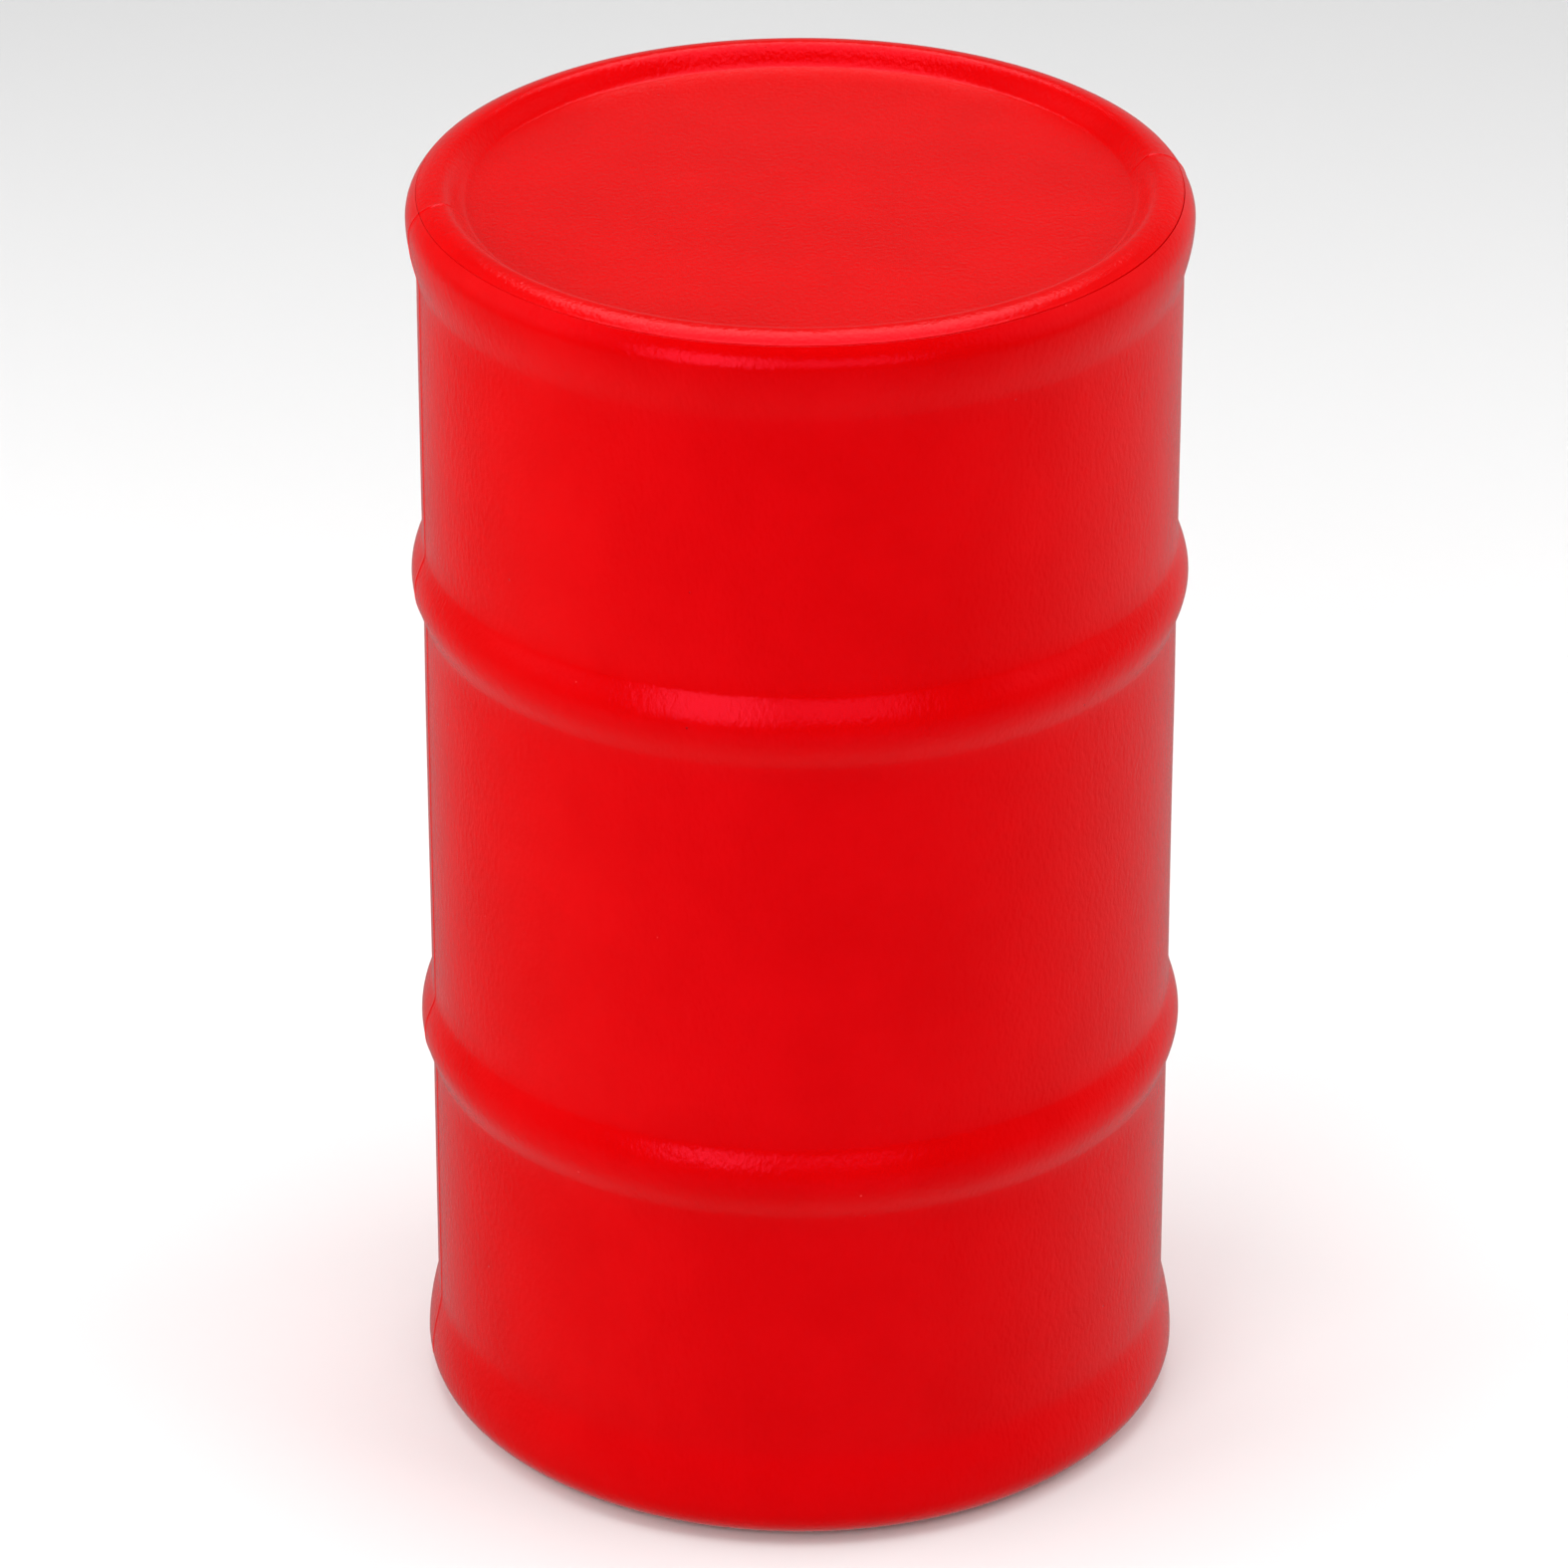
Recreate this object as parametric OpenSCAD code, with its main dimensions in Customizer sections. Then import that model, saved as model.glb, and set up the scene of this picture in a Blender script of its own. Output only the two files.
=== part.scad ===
/* [Drum] */
// Height of the closed drum
drum_h = 914.4; // [880:0.2:960]
// Outside radius of the straight wall
wall_r = 258.5; // [255:0.5:270]
// Thickness of the moulded wall
wall_t = 4; // [3:0.5:5]

/* [Rolling hoops] */
// Height of the lower hoop above the ground
lower_hoop_z = 285.7; // [270:0.1:300]
// Height of the upper hoop above the ground
upper_hoop_z = 629; // [600:0.1:650]
// How far a hoop stands out of the wall
hoop_rise = 7.7; // [5:0.1:10]
// Half of the height that a hoop takes up on the wall
hoop_half = 28; // [20:0.5:35]

/* [Foot bead] */
// Height of the foot bead's widest line
foot_bead_z = 25; // [20:0.5:30]
// How far the foot bead stands out of the wall
foot_rise = 7.3; // [5:0.1:9]
// Height from the foot bead's widest line to the straight wall
foot_blend = 47; // [35:0.5:60]
// Outer radius of the flat ring that stands on the ground
foot_out_r = 236.2; // [234:0.1:238]
// Inner radius of the flat ring that stands on the ground
foot_in_r = 228; // [226:0.1:230]
// Height of the raised floor's underside above the ground
floor_rise = 13; // [10:0.5:16]
// Thickness of the raised floor
floor_t = 5; // [4:0.5:6]

/* [Head bead and lid] */
// Depth of the head bead's widest line below the top
head_bead_drop = 22.4; // [20:0.1:25]
// How far the head bead stands out of the wall
head_rise = 6.7; // [5:0.1:9]
// Height from the head bead's widest line down to the straight wall
head_blend = 38.5; // [30:0.5:50]
// Radius of the lid's highest line
crest_r = 242.1; // [240:0.1:244]
// Radius of the lid's flat plate
plate_r = 224.3; // [220:0.1:228]
// Depth of the plate below the top
plate_drop = 13.1; // [10:0.1:16]
// Thickness of the lid
lid_t = 4.5; // [3.5:0.1:5]
// Radius of the joint between lid and shell
joint_r = 257.6; // [257:0.1:258]
// Width of the open joint between lid and shell
joint_gap = 0.6; // [0.4:0.1:1]
// Depth of the lid's skirt inside the mouth
skirt_h = 33; // [25:1:45]
// Number of ribs under the lid's plate
rib_count = 8; // [4:1:16]

/* [Drain] */
// Height of the drain's axis above the ground
drain_z = 120; // [120:1:140]
// Radius of the round pocket in the back wall
pocket_r = 42; // [42:0.5:44]
// Thread radius of the drain plug's shank
plug_r = 24.9; // [24:0.1:25]

/* [Ballast] */
// Length of a sandbag without its neck
bag_l = 330; // [300:1:335]
// Width of a sandbag
bag_w = 188; // [170:1:190]
// Height of a sandbag
bag_h = 100; // [80:1:110]

/* [Hidden] */
$fn = 128;

red = [0.87, 0.01, 0.02];
black = [0.05, 0.05, 0.055];
rubber = [0.09, 0.09, 0.095];
woven = [0.86, 0.85, 0.78];
sand = [0.72, 0.58, 0.38];
twine = [0.78, 0.62, 0.36];

arc_steps = 8;
hoop_steps = 14;
hump_power = 1.5;

// Length by which a cutter runs past what it cuts, and a part into what it joins
over = 1;

// Head: half axis of the bead's quarter ellipse, and the levels of its parts
head_bead_z = drum_h - head_bead_drop;
head_half_r = wall_r + head_rise - crest_r;
plate_z = drum_h - plate_drop;
shell_lip = 0.4;
joint_angle = acos((joint_r + shell_lip - crest_r) / head_half_r);
lid_edge_r = joint_r - joint_gap;
lid_angle = acos((lid_edge_r - crest_r) / head_half_r);
ledge_drop = 11.4;
ledge_z = drum_h - ledge_drop;
ledge_t = 5;
ledge_root = 0.5;
mouth_r = 244;
gasket_t = 2;
gasket_margin = 1.5;
flange_z = ledge_z + gasket_t;
skirt_play = 0.8;
skirt_out_r = mouth_r - skirt_play;
skirt_in_r = skirt_out_r - lid_t;
rib_h = 15;
rib_t = 3;
rib_ring_r = 30;

// Foot: half axis of the bead's quarter ellipse, and the slope from the floor down to the ring
foot_half_r = wall_r + foot_rise - foot_out_r;
foot_slope = 10;
floor_r = foot_in_r - foot_slope;
floor_z = floor_rise + floor_t;
floor_in_r = floor_r + 3;
foot_low_r = foot_in_r + 4;

// Drain: distances from the drum's axis, along +Y
boss_wall = 5;
boss_r = pocket_r + boss_wall;
boss_inset = 0.5;
boss_in_y = 238;
pocket_y = 243;
washer_t = 2;
flange_t = 5;
flange_y = pocket_y + washer_t;
seat_y = flange_y + flange_t;
plug_flange_t = 4;
plug_flange_y = seat_y + washer_t;
head_y = plug_flange_y + plug_flange_t;
plug_head_h = 8;
head_end_y = head_y + plug_head_h;
tube_r = 30;
tube_play = 0.5;
thread_play = 0.1;
tube_in_y = 220;
nut_h = 9;
nut_flats = 82;
bore_r = 25;
fitting_flange_r = 38;
plug_flange_r = 31;
plug_head_flats = 36;
plug_wall = 5;
shank_l = 22;
washer_play = 0.2;
washer_margin = 0.5;

// Sandbags: the lower pair lies along Y, side by side, and the third lies across them
bag_corner = 34;
bag_skin = 1.5;
fill_play = 0.5;
bag_gap = 5;
bag_sides = 24;
bag_neck_r = 12;
bag_neck_l = 12;
bag_mouth_r = 22;
bag_mouth_l = 18;
tie_r = 2.2;
tie_play = 0.05;

// Wall point at a share u of a hump's half height: 0 at its crest, -1 and 1 at its ends
function hump_point(mid_z, half, rise, u) =
    [wall_r + rise * pow(max(0, 1 - u * u), hump_power), mid_z + half * u];

function hump(mid_z, half, rise, from, to) =
    [for (i = [0 : hoop_steps]) hump_point(mid_z, half, rise, from + (to - from) * i / hoop_steps)];

// Wall outline from the foot bead's widest line up to the head bead's, moved in by inset
function side(inset) = [
    for (p = concat(hump(foot_bead_z, foot_blend, foot_rise, 0, 1),
                    hump(lower_hoop_z, hoop_half, hoop_rise, -1, 1),
                    hump(upper_hoop_z, hoop_half, hoop_rise, -1, 1),
                    hump(head_bead_z, head_blend, head_rise, -1, 0)))
        [p[0] - inset, p[1]]
];

// Quarter ellipse of the foot bead from the ground to its widest line, moved in by inset
function foot_arc(inset) = [
    for (i = [0 : arc_steps - 1])
        let (a = 90 * i / arc_steps)
            [foot_out_r + (foot_half_r - inset) * sin(a), foot_bead_z - (foot_bead_z - inset) * cos(a)]
];

// Point of the head bead's quarter ellipse at an angle up from its widest line
function head_point(a) = [crest_r + head_half_r * cos(a), head_bead_z + head_bead_drop * sin(a)];

function head_arc(from, to) =
    [for (i = [0 : arc_steps]) head_point(from + (to - from) * i / arc_steps)];

// Height of the lid's inner slope at radius r, between the plate and the crest
function slope_z(r) =
    plate_z + plate_drop * (1 - cos(180 * (r - plate_r) / (crest_r - plate_r))) / 2;

function slope(from_r, to_r, drop) = [
    for (i = [0 : arc_steps])
        let (r = from_r + (to_r - from_r) * i / arc_steps)
            [r, slope_z(r) - drop]
];

module shell_wall() {
    outside = concat([[0, floor_rise], [floor_r, floor_rise], [foot_in_r, 0]],
                     foot_arc(0), side(0), head_arc(0, joint_angle));
    mouth = [[joint_r, head_point(joint_angle)[1]], [joint_r, ledge_z], [mouth_r, ledge_z],
             [mouth_r, ledge_z - ledge_t], [wall_r + ledge_root, ledge_z - ledge_t]];
    inside = concat([[0, floor_z], [floor_in_r, floor_z], [foot_low_r, wall_t]],
                    foot_arc(wall_t), side(wall_t));
    inside_down = [for (i = [len(inside) - 1 : -1 : 0]) inside[i]];
    rotate_extrude() polygon(concat(outside, mouth, inside_down));
}

// Places a child drawn along +Z so that it runs along +Y through the drain's axis
module at_drain() {
    translate([0, 0, drain_z]) rotate([-90, 0, 0]) children();
}

module ring(in_r, out_r, low, high) {
    translate([0, 0, low]) difference() {
        cylinder(r = out_r, h = high - low);
        translate([0, 0, -over]) cylinder(r = in_r, h = high - low + 2 * over);
    }
}

module drum_shell() {
    color(red) difference() {
        union() {
            shell_wall();
            intersection() {
                at_drain() translate([0, 0, boss_in_y]) cylinder(r = boss_r, h = wall_r - boss_in_y);
                cylinder(r = wall_r - boss_inset, h = drain_z * 2);
            }
        }
        at_drain() translate([0, 0, pocket_y]) cylinder(r = pocket_r, h = wall_r + hoop_rise - pocket_y);
        at_drain() translate([0, 0, boss_in_y - over])
            cylinder(r = tube_r + tube_play, h = pocket_y - boss_in_y + 2 * over);
    }
}

module lid() {
    color(red) {
        rotate_extrude() polygon(concat(
            [[0, plate_z]],
            slope(plate_r, crest_r, 0),
            [for (i = [1 : arc_steps]) head_point(90 + (lid_angle - 90) * i / arc_steps)],
            [[lid_edge_r, flange_z], [skirt_out_r, flange_z], [skirt_out_r, flange_z - skirt_h],
             [skirt_in_r, flange_z - skirt_h]],
            slope(skirt_in_r, plate_r, lid_t),
            [[0, plate_z - lid_t]]));
        translate([0, 0, plate_z - lid_t - rib_h]) difference() {
            union() {
                cylinder(r = rib_ring_r, h = rib_h + over);
                for (i = [0 : rib_count - 1])
                    rotate([0, 0, 360 * i / rib_count])
                        translate([0, -rib_t / 2, 0])
                            cube([skirt_in_r + over, rib_t, rib_h + over]);
            }
            translate([0, 0, -over]) cylinder(r = rib_ring_r - rib_t, h = rib_h + over);
        }
    }
}

module lid_gasket() {
    color(rubber) ring(mouth_r + gasket_margin, lid_edge_r - gasket_margin, ledge_z, flange_z);
}

module drain_fitting() {
    color(black) at_drain() difference() {
        union() {
            translate([0, 0, tube_in_y]) cylinder(r = tube_r, h = seat_y - tube_in_y);
            translate([0, 0, flange_y]) cylinder(r = fitting_flange_r, h = seat_y - flange_y);
        }
        translate([0, 0, tube_in_y - over]) cylinder(r = bore_r, h = seat_y - tube_in_y + 2 * over);
    }
}

module fitting_gasket() {
    color(rubber) at_drain() ring(tube_r + washer_play, fitting_flange_r - washer_margin, pocket_y, flange_y);
}

module fitting_locknut() {
    color(black) at_drain() translate([0, 0, boss_in_y - nut_h]) difference() {
        cylinder(r = nut_flats / 2 / cos(30), h = nut_h, $fn = 6);
        translate([0, 0, -over]) cylinder(r = tube_r + thread_play, h = nut_h + 2 * over);
    }
}

module drain_plug() {
    color(black) at_drain() difference() {
        union() {
            translate([0, 0, plug_flange_y - shank_l]) cylinder(r = plug_r, h = shank_l + over);
            translate([0, 0, plug_flange_y]) cylinder(r = plug_flange_r, h = head_y - plug_flange_y);
            translate([0, 0, head_y - over])
                cylinder(r = plug_head_flats / 2 / cos(30), h = head_end_y - head_y + over, $fn = 6);
        }
        translate([0, 0, plug_flange_y - shank_l - over]) cylinder(r = plug_r - plug_wall, h = shank_l);
    }
}

module plug_seal() {
    color(rubber) at_drain() ring(plug_r + washer_play, plug_flange_r - washer_margin, seat_y, plug_flange_y);
}

// Rounded block with its underside at z = shrink and its length along Y
module bag_block(shrink) {
    corner = bag_corner - shrink;
    hull() for (x = [-1, 1], y = [-1, 1], z = [0, 1])
        translate([x * (bag_w / 2 - bag_corner), y * (bag_l / 2 - bag_corner),
                   z > 0 ? bag_h - bag_corner : bag_corner])
            sphere(r = corner, $fn = bag_sides);
}

// Places a child at bag i's underside, with the neck's end of the bag towards -Y before turning
module at_bag(i) {
    if (i == 3) translate([0, 0, floor_z + bag_h]) rotate([0, 0, 90]) children();
    else translate([(i * 2 - 3) * (bag_w + bag_gap) / 2, 0, floor_z]) children();
}

module sandbag(i) {
    color(woven) at_bag(i) {
        difference() {
            bag_block(0);
            bag_block(bag_skin);
        }
        translate([0, over - bag_l / 2, bag_h / 2]) rotate([90, 0, 0]) {
            cylinder(r = bag_neck_r, h = bag_neck_l + over);
            translate([0, 0, bag_neck_l])
                cylinder(r1 = bag_neck_r, r2 = bag_mouth_r, h = bag_mouth_l);
        }
    }
}

module sand_fill(i) {
    color(sand) at_bag(i) bag_block(bag_skin + fill_play);
}

module bag_tie(i) {
    color(twine) at_bag(i) translate([0, -(bag_l + bag_neck_l) / 2, bag_h / 2]) rotate([90, 0, 0])
        rotate_extrude() translate([bag_neck_r + tie_r + tie_play, 0]) circle(r = tie_r, $fn = bag_sides);
}

drum_shell();
lid();
lid_gasket();
drain_fitting();
fitting_gasket();
fitting_locknut();
drain_plug();
plug_seal();
for (i = [1 : 3]) {
    sandbag(i);
    sand_fill(i);
    bag_tie(i);
}
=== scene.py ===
"""Looks of a red plastic traffic drum with a lift-off lid, sandbag ballast and a screwed drain.

Lengths are in metres in the frame's axes: +Z up the drum's axis, +Y towards the drain.
"""
import math

import bmesh
import bpy
from mathutils import Matrix, Vector, noise


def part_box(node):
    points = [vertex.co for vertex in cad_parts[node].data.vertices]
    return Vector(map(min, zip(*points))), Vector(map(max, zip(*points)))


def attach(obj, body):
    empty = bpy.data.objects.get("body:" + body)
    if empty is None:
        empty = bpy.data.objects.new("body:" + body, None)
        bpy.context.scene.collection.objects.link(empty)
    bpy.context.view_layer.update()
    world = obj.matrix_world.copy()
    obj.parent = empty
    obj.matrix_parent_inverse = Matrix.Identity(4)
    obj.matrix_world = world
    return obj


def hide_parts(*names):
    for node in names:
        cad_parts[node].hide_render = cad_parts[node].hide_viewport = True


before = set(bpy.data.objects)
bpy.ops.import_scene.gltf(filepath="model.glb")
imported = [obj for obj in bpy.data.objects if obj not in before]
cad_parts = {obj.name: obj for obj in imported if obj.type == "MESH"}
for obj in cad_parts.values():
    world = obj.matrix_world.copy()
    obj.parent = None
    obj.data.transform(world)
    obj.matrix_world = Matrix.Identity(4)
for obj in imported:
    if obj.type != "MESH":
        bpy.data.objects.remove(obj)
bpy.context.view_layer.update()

# ---------------------------------------------------------------- sizes, most of them from the frame

LID_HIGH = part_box("lid")[1]
GASKET_LOW, GASKET_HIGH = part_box("lid_gasket")
PLUG_LOW, PLUG_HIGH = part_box("drain_plug")
SEAL_LOW, SEAL_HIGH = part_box("plug_seal")
FITTING_LOW, FITTING_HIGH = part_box("drain_fitting")
RING_LOW, RING_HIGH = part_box("fitting_gasket")
NUT_LOW, NUT_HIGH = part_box("fitting_locknut")

DRUM_H = LID_HIGH.z
WALL_R = 0.2585
WALL_T = 0.004

# Humps of the wall: height of the crest, half height and rise
LOWER_HOOP = (0.2857, 0.028, 0.0077)
UPPER_HOOP = (0.629, 0.028, 0.0077)
FOOT_BEAD = (0.025, 0.047, 0.0073)
HEAD_BEAD = (DRUM_H - 0.0224, 0.0385, 0.0067)
CREST_R = 0.2421
HEAD_HALF = (WALL_R + HEAD_BEAD[2] - CREST_R, DRUM_H - HEAD_BEAD[0])

HUMP_POWER = 1.5
FOOT_OUT_R = 0.2362
FOOT_IN_R = 0.228
FLOOR_R = 0.218
FLOOR_RISE = 0.013
FLOOR_TOP = 0.018

PLATE_R = 0.2243
PLATE_Z = DRUM_H - 0.0131
LID_T = 0.0045
JOINT_R = 0.2576
LID_EDGE_R = LID_HIGH.x + 0.0005
LEDGE_Z = GASKET_LOW.z
LEDGE_T = 0.005
SHELL_LIP = 0.0004
MOUTH_R = 0.244
SKIRT_OUT_R = 0.2432
SKIRT_LOW_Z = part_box("lid")[0].z
RIB_COUNT = 8
RIB_RING_R = 0.030
RIB_H = 0.015
RIB_T = 0.003

# The mould's parting plane crosses the wall and the rim at these two angles
PARTING_ANGLES = (math.radians(10), math.radians(190))
PARTING_WIDTH = 0.0009
PARTING_RISE = 0.0005
SEAM_WIDTH = 0.0008
SEAM_RISE = 0.0003

DRAIN_Z = (PLUG_LOW.z + PLUG_HIGH.z) / 2
POCKET_R = 0.042
POCKET_Y = RING_LOW.y
BOSS_R = 0.047
BOSS_Y = NUT_HIGH.y
FITTING_R = 0.030
PLUG_SHANK_R = 0.0247
PLUG_FLANGE_T = 0.004
PLUG_FLATS = 0.036
PLUG_THREAD_H = 0.0016
NUT_THREAD_H = 0.0012
THREAD_PLAY = 0.0003
PITCH = 0.004
# Half width of a hexagon's broken corner over the half width across its flats
HEX_CORNER = 1.135

# How far a cloth bag may move inwards and outwards from its fill's shape
INWARDS_LIMIT = 0.0025
OUTWARDS_LIMIT = 0.012
CLOTH_FRAMES = 21
PLEATS = 11

TURN = 2 * math.pi
TINY = 1e-6
EDGE_SOFT = 0.0012
COLUMNS = 320
# Columns and rows of the window in the wall that the drain's pocket fills, and its margin
WINDOW = 22
WINDOW_MARGIN = 0.007


# ---------------------------------------------------------------- mesh helpers

def placed(name, data):
    """A new object in the scene."""
    made = bpy.data.objects.new(name, data)
    bpy.context.scene.collection.objects.link(made)
    return made


def new_mesh(name, points, faces):
    """An object from points and faces, with doubled points merged and faces turned outwards."""
    mesh = bpy.data.meshes.new(name)
    mesh.from_pydata([tuple(p) for p in points], [], faces)
    bm = bmesh.new()
    bm.from_mesh(mesh)
    bmesh.ops.remove_doubles(bm, verts=bm.verts, dist=TINY)
    bmesh.ops.recalc_face_normals(bm, faces=bm.faces)
    bm.to_mesh(mesh)
    bm.free()
    return placed(name, mesh)


def dress(piece, body, material, replaced, sharp=38):
    """Smooth shading, one material, and the piece's place in the frame."""
    mesh = piece.data
    mesh.polygons.foreach_set("use_smooth", [True] * len(mesh.polygons))
    if sharp:
        mesh.set_sharp_from_angle(angle=math.radians(sharp))
    mesh.materials.clear()
    mesh.materials.append(material)
    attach(piece, body)
    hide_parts(*replaced)
    return piece


def join(target, others):
    """Adds the solids of other objects to target's by an exact union."""
    for other in others:
        cut = target.modifiers.new("union", "BOOLEAN")
        cut.operation = "UNION"
        cut.solver = "EXACT"
        cut.object = other
        apply_modifiers(target)
        bpy.data.objects.remove(other)


def apply_modifiers(piece):
    """Replaces a piece's mesh by what its modifiers make of it."""
    graph = bpy.context.evaluated_depsgraph_get()
    made = bpy.data.meshes.new_from_object(piece.evaluated_get(graph))
    piece.modifiers.clear()
    piece.data = made


def even_angles(count):
    return [TURN * i / count for i in range(count)]


def turned(outline, angles, shift=None):
    """Points of an outline of (r, z) turned round Z, ring by ring; shift(r, z, angle) may move a point."""
    points = []
    for r, z in outline:
        for a in angles:
            r2, z2 = shift(r, z, a) if shift and r > 0 else (r, z)
            points.append((r2 * math.cos(a), r2 * math.sin(a), z2))
    return points


def ring_faces(rings, columns, closed):
    """Quads between neighbouring rings; closed also joins the last ring to the first."""
    faces = []
    for i in range(rings if closed else rings - 1):
        low, high = i * columns, (i + 1) % rings * columns
        for j in range(columns):
            k = (j + 1) % columns
            faces.append((low + j, low + k, high + k, high + j))
    return faces


def lathe(name, outline, angles, closed=True, shift=None):
    points = turned(outline, angles, shift)
    return new_mesh(name, points, ring_faces(len(outline), len(angles), closed))


def span(start, end, steps):
    """Points from start up to, but not including, end."""
    return [tuple(s + (e - s) * i / steps for s, e in zip(start, end)) for i in range(steps)]


def bow(centre, radii, start, end, steps):
    """Points of an elliptical arc in (r, z), angles in degrees."""
    points = []
    for i in range(steps + 1):
        a = math.radians(start + (end - start) * i / steps)
        points.append((centre[0] + radii[0] * math.cos(a), centre[1] + radii[1] * math.sin(a)))
    return points


def softened(outline, radius, closed=True):
    """An outline with each corner that turns by more than 20 degrees rounded off."""
    steps, least_turn = 3, 20
    result = []
    count = len(outline)
    for i, point in enumerate(outline):
        here = Vector(point)
        back = Vector(outline[i - 1]) - here
        on = Vector(outline[(i + 1) % count]) - here
        ends = not closed and i in (0, count - 1)
        if ends or math.degrees(math.pi - back.angle(on)) < least_turn:
            result.append(tuple(point))
            continue
        reach = min(radius, back.length * 0.45, on.length * 0.45)
        start, end = here + back.normalized() * reach, here + on.normalized() * reach
        for k in range(steps + 1):
            t = k / steps
            result.append(tuple(start * (1 - t) ** 2 + here * 2 * t * (1 - t) + end * t ** 2))
    return result


def at_drain(piece):
    """Turns a piece drawn along +Z so that it runs along +Y through the drain's axis."""
    piece.data.transform(Matrix.Translation((0, 0, DRAIN_Z)) @ Matrix.Rotation(-math.pi / 2, 4, "X"))
    return piece


# ---------------------------------------------------------------- the drum's moulded shape

def hump(z, bead):
    mid, half, rise = bead
    u = abs(z - mid) / half
    return rise * (1 - u * u) ** HUMP_POWER if u < 1 else 0.0


def wall_radius(z):
    """Outside radius of the wall, between the widest lines of the two beads."""
    return WALL_R + sum(hump(z, bead) for bead in (LOWER_HOOP, UPPER_HOOP, FOOT_BEAD, HEAD_BEAD))


def ridge(r, angle):
    """Height of the parting line's ridge."""
    off = min(abs(math.remainder(angle - p, TURN)) for p in PARTING_ANGLES) * r
    return PARTING_RISE * math.exp(-(off / PARTING_WIDTH) ** 2)


def seam(r):
    """Height of the thin lip that the trimmed joint leaves on the edges of shell and lid."""
    return SEAM_RISE * math.exp(-((r - JOINT_R) / SEAM_WIDTH) ** 2)


def waviness(r, z, angle):
    """Slow unevenness of a moulding that has cooled freely."""
    place = Vector((r * math.cos(angle), r * math.sin(angle), z))
    return 0.0004 * noise.noise(place * 5) + 0.0001 * noise.noise(place * 16)


def head_shift(r, z, angle):
    """Moves a point of the head bead's quarter ellipse along its normal."""
    way = Vector(((r - CREST_R) / HEAD_HALF[0] ** 2, (z - HEAD_BEAD[0]) / HEAD_HALF[1] ** 2)).normalized()
    amount = waviness(r, z, angle) + ridge(r, angle) + seam(r)
    return r + amount * way.x, z + amount * way.y


def wall_shift(r, z, angle):
    """Moves only the outer skin of the wall and the lip above it."""
    if z > HEAD_BEAD[0] and r > JOINT_R + TINY:
        r, z = head_shift(r, z, angle)
        return max(r, JOINT_R), z
    if not FOOT_BEAD[0] <= z <= HEAD_BEAD[0] or r < wall_radius(z) - WALL_T / 2:
        return r, z
    return r + waviness(r, z, angle) + ridge(r, angle), z


def fine_angles():
    """Even angles, with extra ones beside the parting lines for their ridge."""
    beside = [k * PARTING_WIDTH / WALL_R / 2 for k in (-5, -3, -2, -1, 0, 1, 2, 3, 5)]
    return sorted(even_angles(COLUMNS) + [p + step for p in PARTING_ANGLES for step in beside])


def rows(low, high, step):
    count = max(1, round((high - low) / step))
    return [low + (high - low) * i / count for i in range(count)]


def wall_rows(window, fine, coarse):
    """Heights of the wall's rings: fine on humps, coarse on plain wall, and even in the drain's window."""
    heights = rows(FOOT_BEAD[0], window[0], fine)
    heights += [window[0] + (window[1] - window[0]) * i / WINDOW for i in range(WINDOW)]
    start = window[1]
    for mid, half, _ in (LOWER_HOOP, UPPER_HOOP):
        heights += rows(start, mid - half, coarse) + rows(mid - half, mid + half, fine)
        start = mid + half
    head_foot = HEAD_BEAD[0] - HEAD_BEAD[1]
    return heights + rows(start, head_foot, coarse) + rows(head_foot, HEAD_BEAD[0], fine)


def shell_outline(window):
    """Open outline from the axis under the floor, up the outside, over the mouth and down the inside."""
    foot_half = WALL_R + FOOT_BEAD[2] - FOOT_OUT_R
    joint = math.degrees(math.acos((JOINT_R + SHELL_LIP - CREST_R) / HEAD_HALF[0]))
    lip = bow((CREST_R, HEAD_BEAD[0]), HEAD_HALF, 0, joint, 16)
    under = span((0, FLOOR_RISE), (FLOOR_R, FLOOR_RISE), 6)
    under += span((FLOOR_R, FLOOR_RISE), (FOOT_IN_R, 0), 3) + [(FOOT_IN_R, 0.0)]
    foot = bow((FOOT_OUT_R, FOOT_BEAD[0]), (foot_half, FOOT_BEAD[0]), -90, 0, 12)[:-1]
    inner_foot = bow((FOOT_OUT_R, FOOT_BEAD[0]), (foot_half - WALL_T, FOOT_BEAD[0] - WALL_T), 0, -90, 6)
    outer = [(wall_radius(z), z) for z in wall_rows(window, 0.0028, 0.012)]
    inner = [(wall_radius(z) - WALL_T, z) for z in wall_rows(window, 0.0056, 0.03)]
    mouth = [(JOINT_R, lip[-1][1]), (JOINT_R, LEDGE_Z), (MOUTH_R, LEDGE_Z),
             (MOUTH_R, LEDGE_Z - LEDGE_T), (WALL_R + 0.0005, LEDGE_Z - LEDGE_T)]
    floor = [(FOOT_IN_R + 0.004, WALL_T), (FLOOR_R + 0.003, FLOOR_TOP)]
    floor += span((FLOOR_R - 0.01, FLOOR_TOP), (0, FLOOR_TOP), 5) + [(0.0, FLOOR_TOP)]
    outline = under + foot + outer + lip + mouth + inner[::-1] + inner_foot[1:] + floor
    return softened(outline, EDGE_SOFT, closed=False)


def wall_point(x, z, inset):
    """Point of the wall at the back, above x and z on the drain's plane."""
    r = wall_radius(z) - inset
    if inset == 0:
        angle = math.acos(x / r)
        r += waviness(r, z, angle)
    return Vector((x, math.sqrt(r * r - x * x), z))


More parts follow.
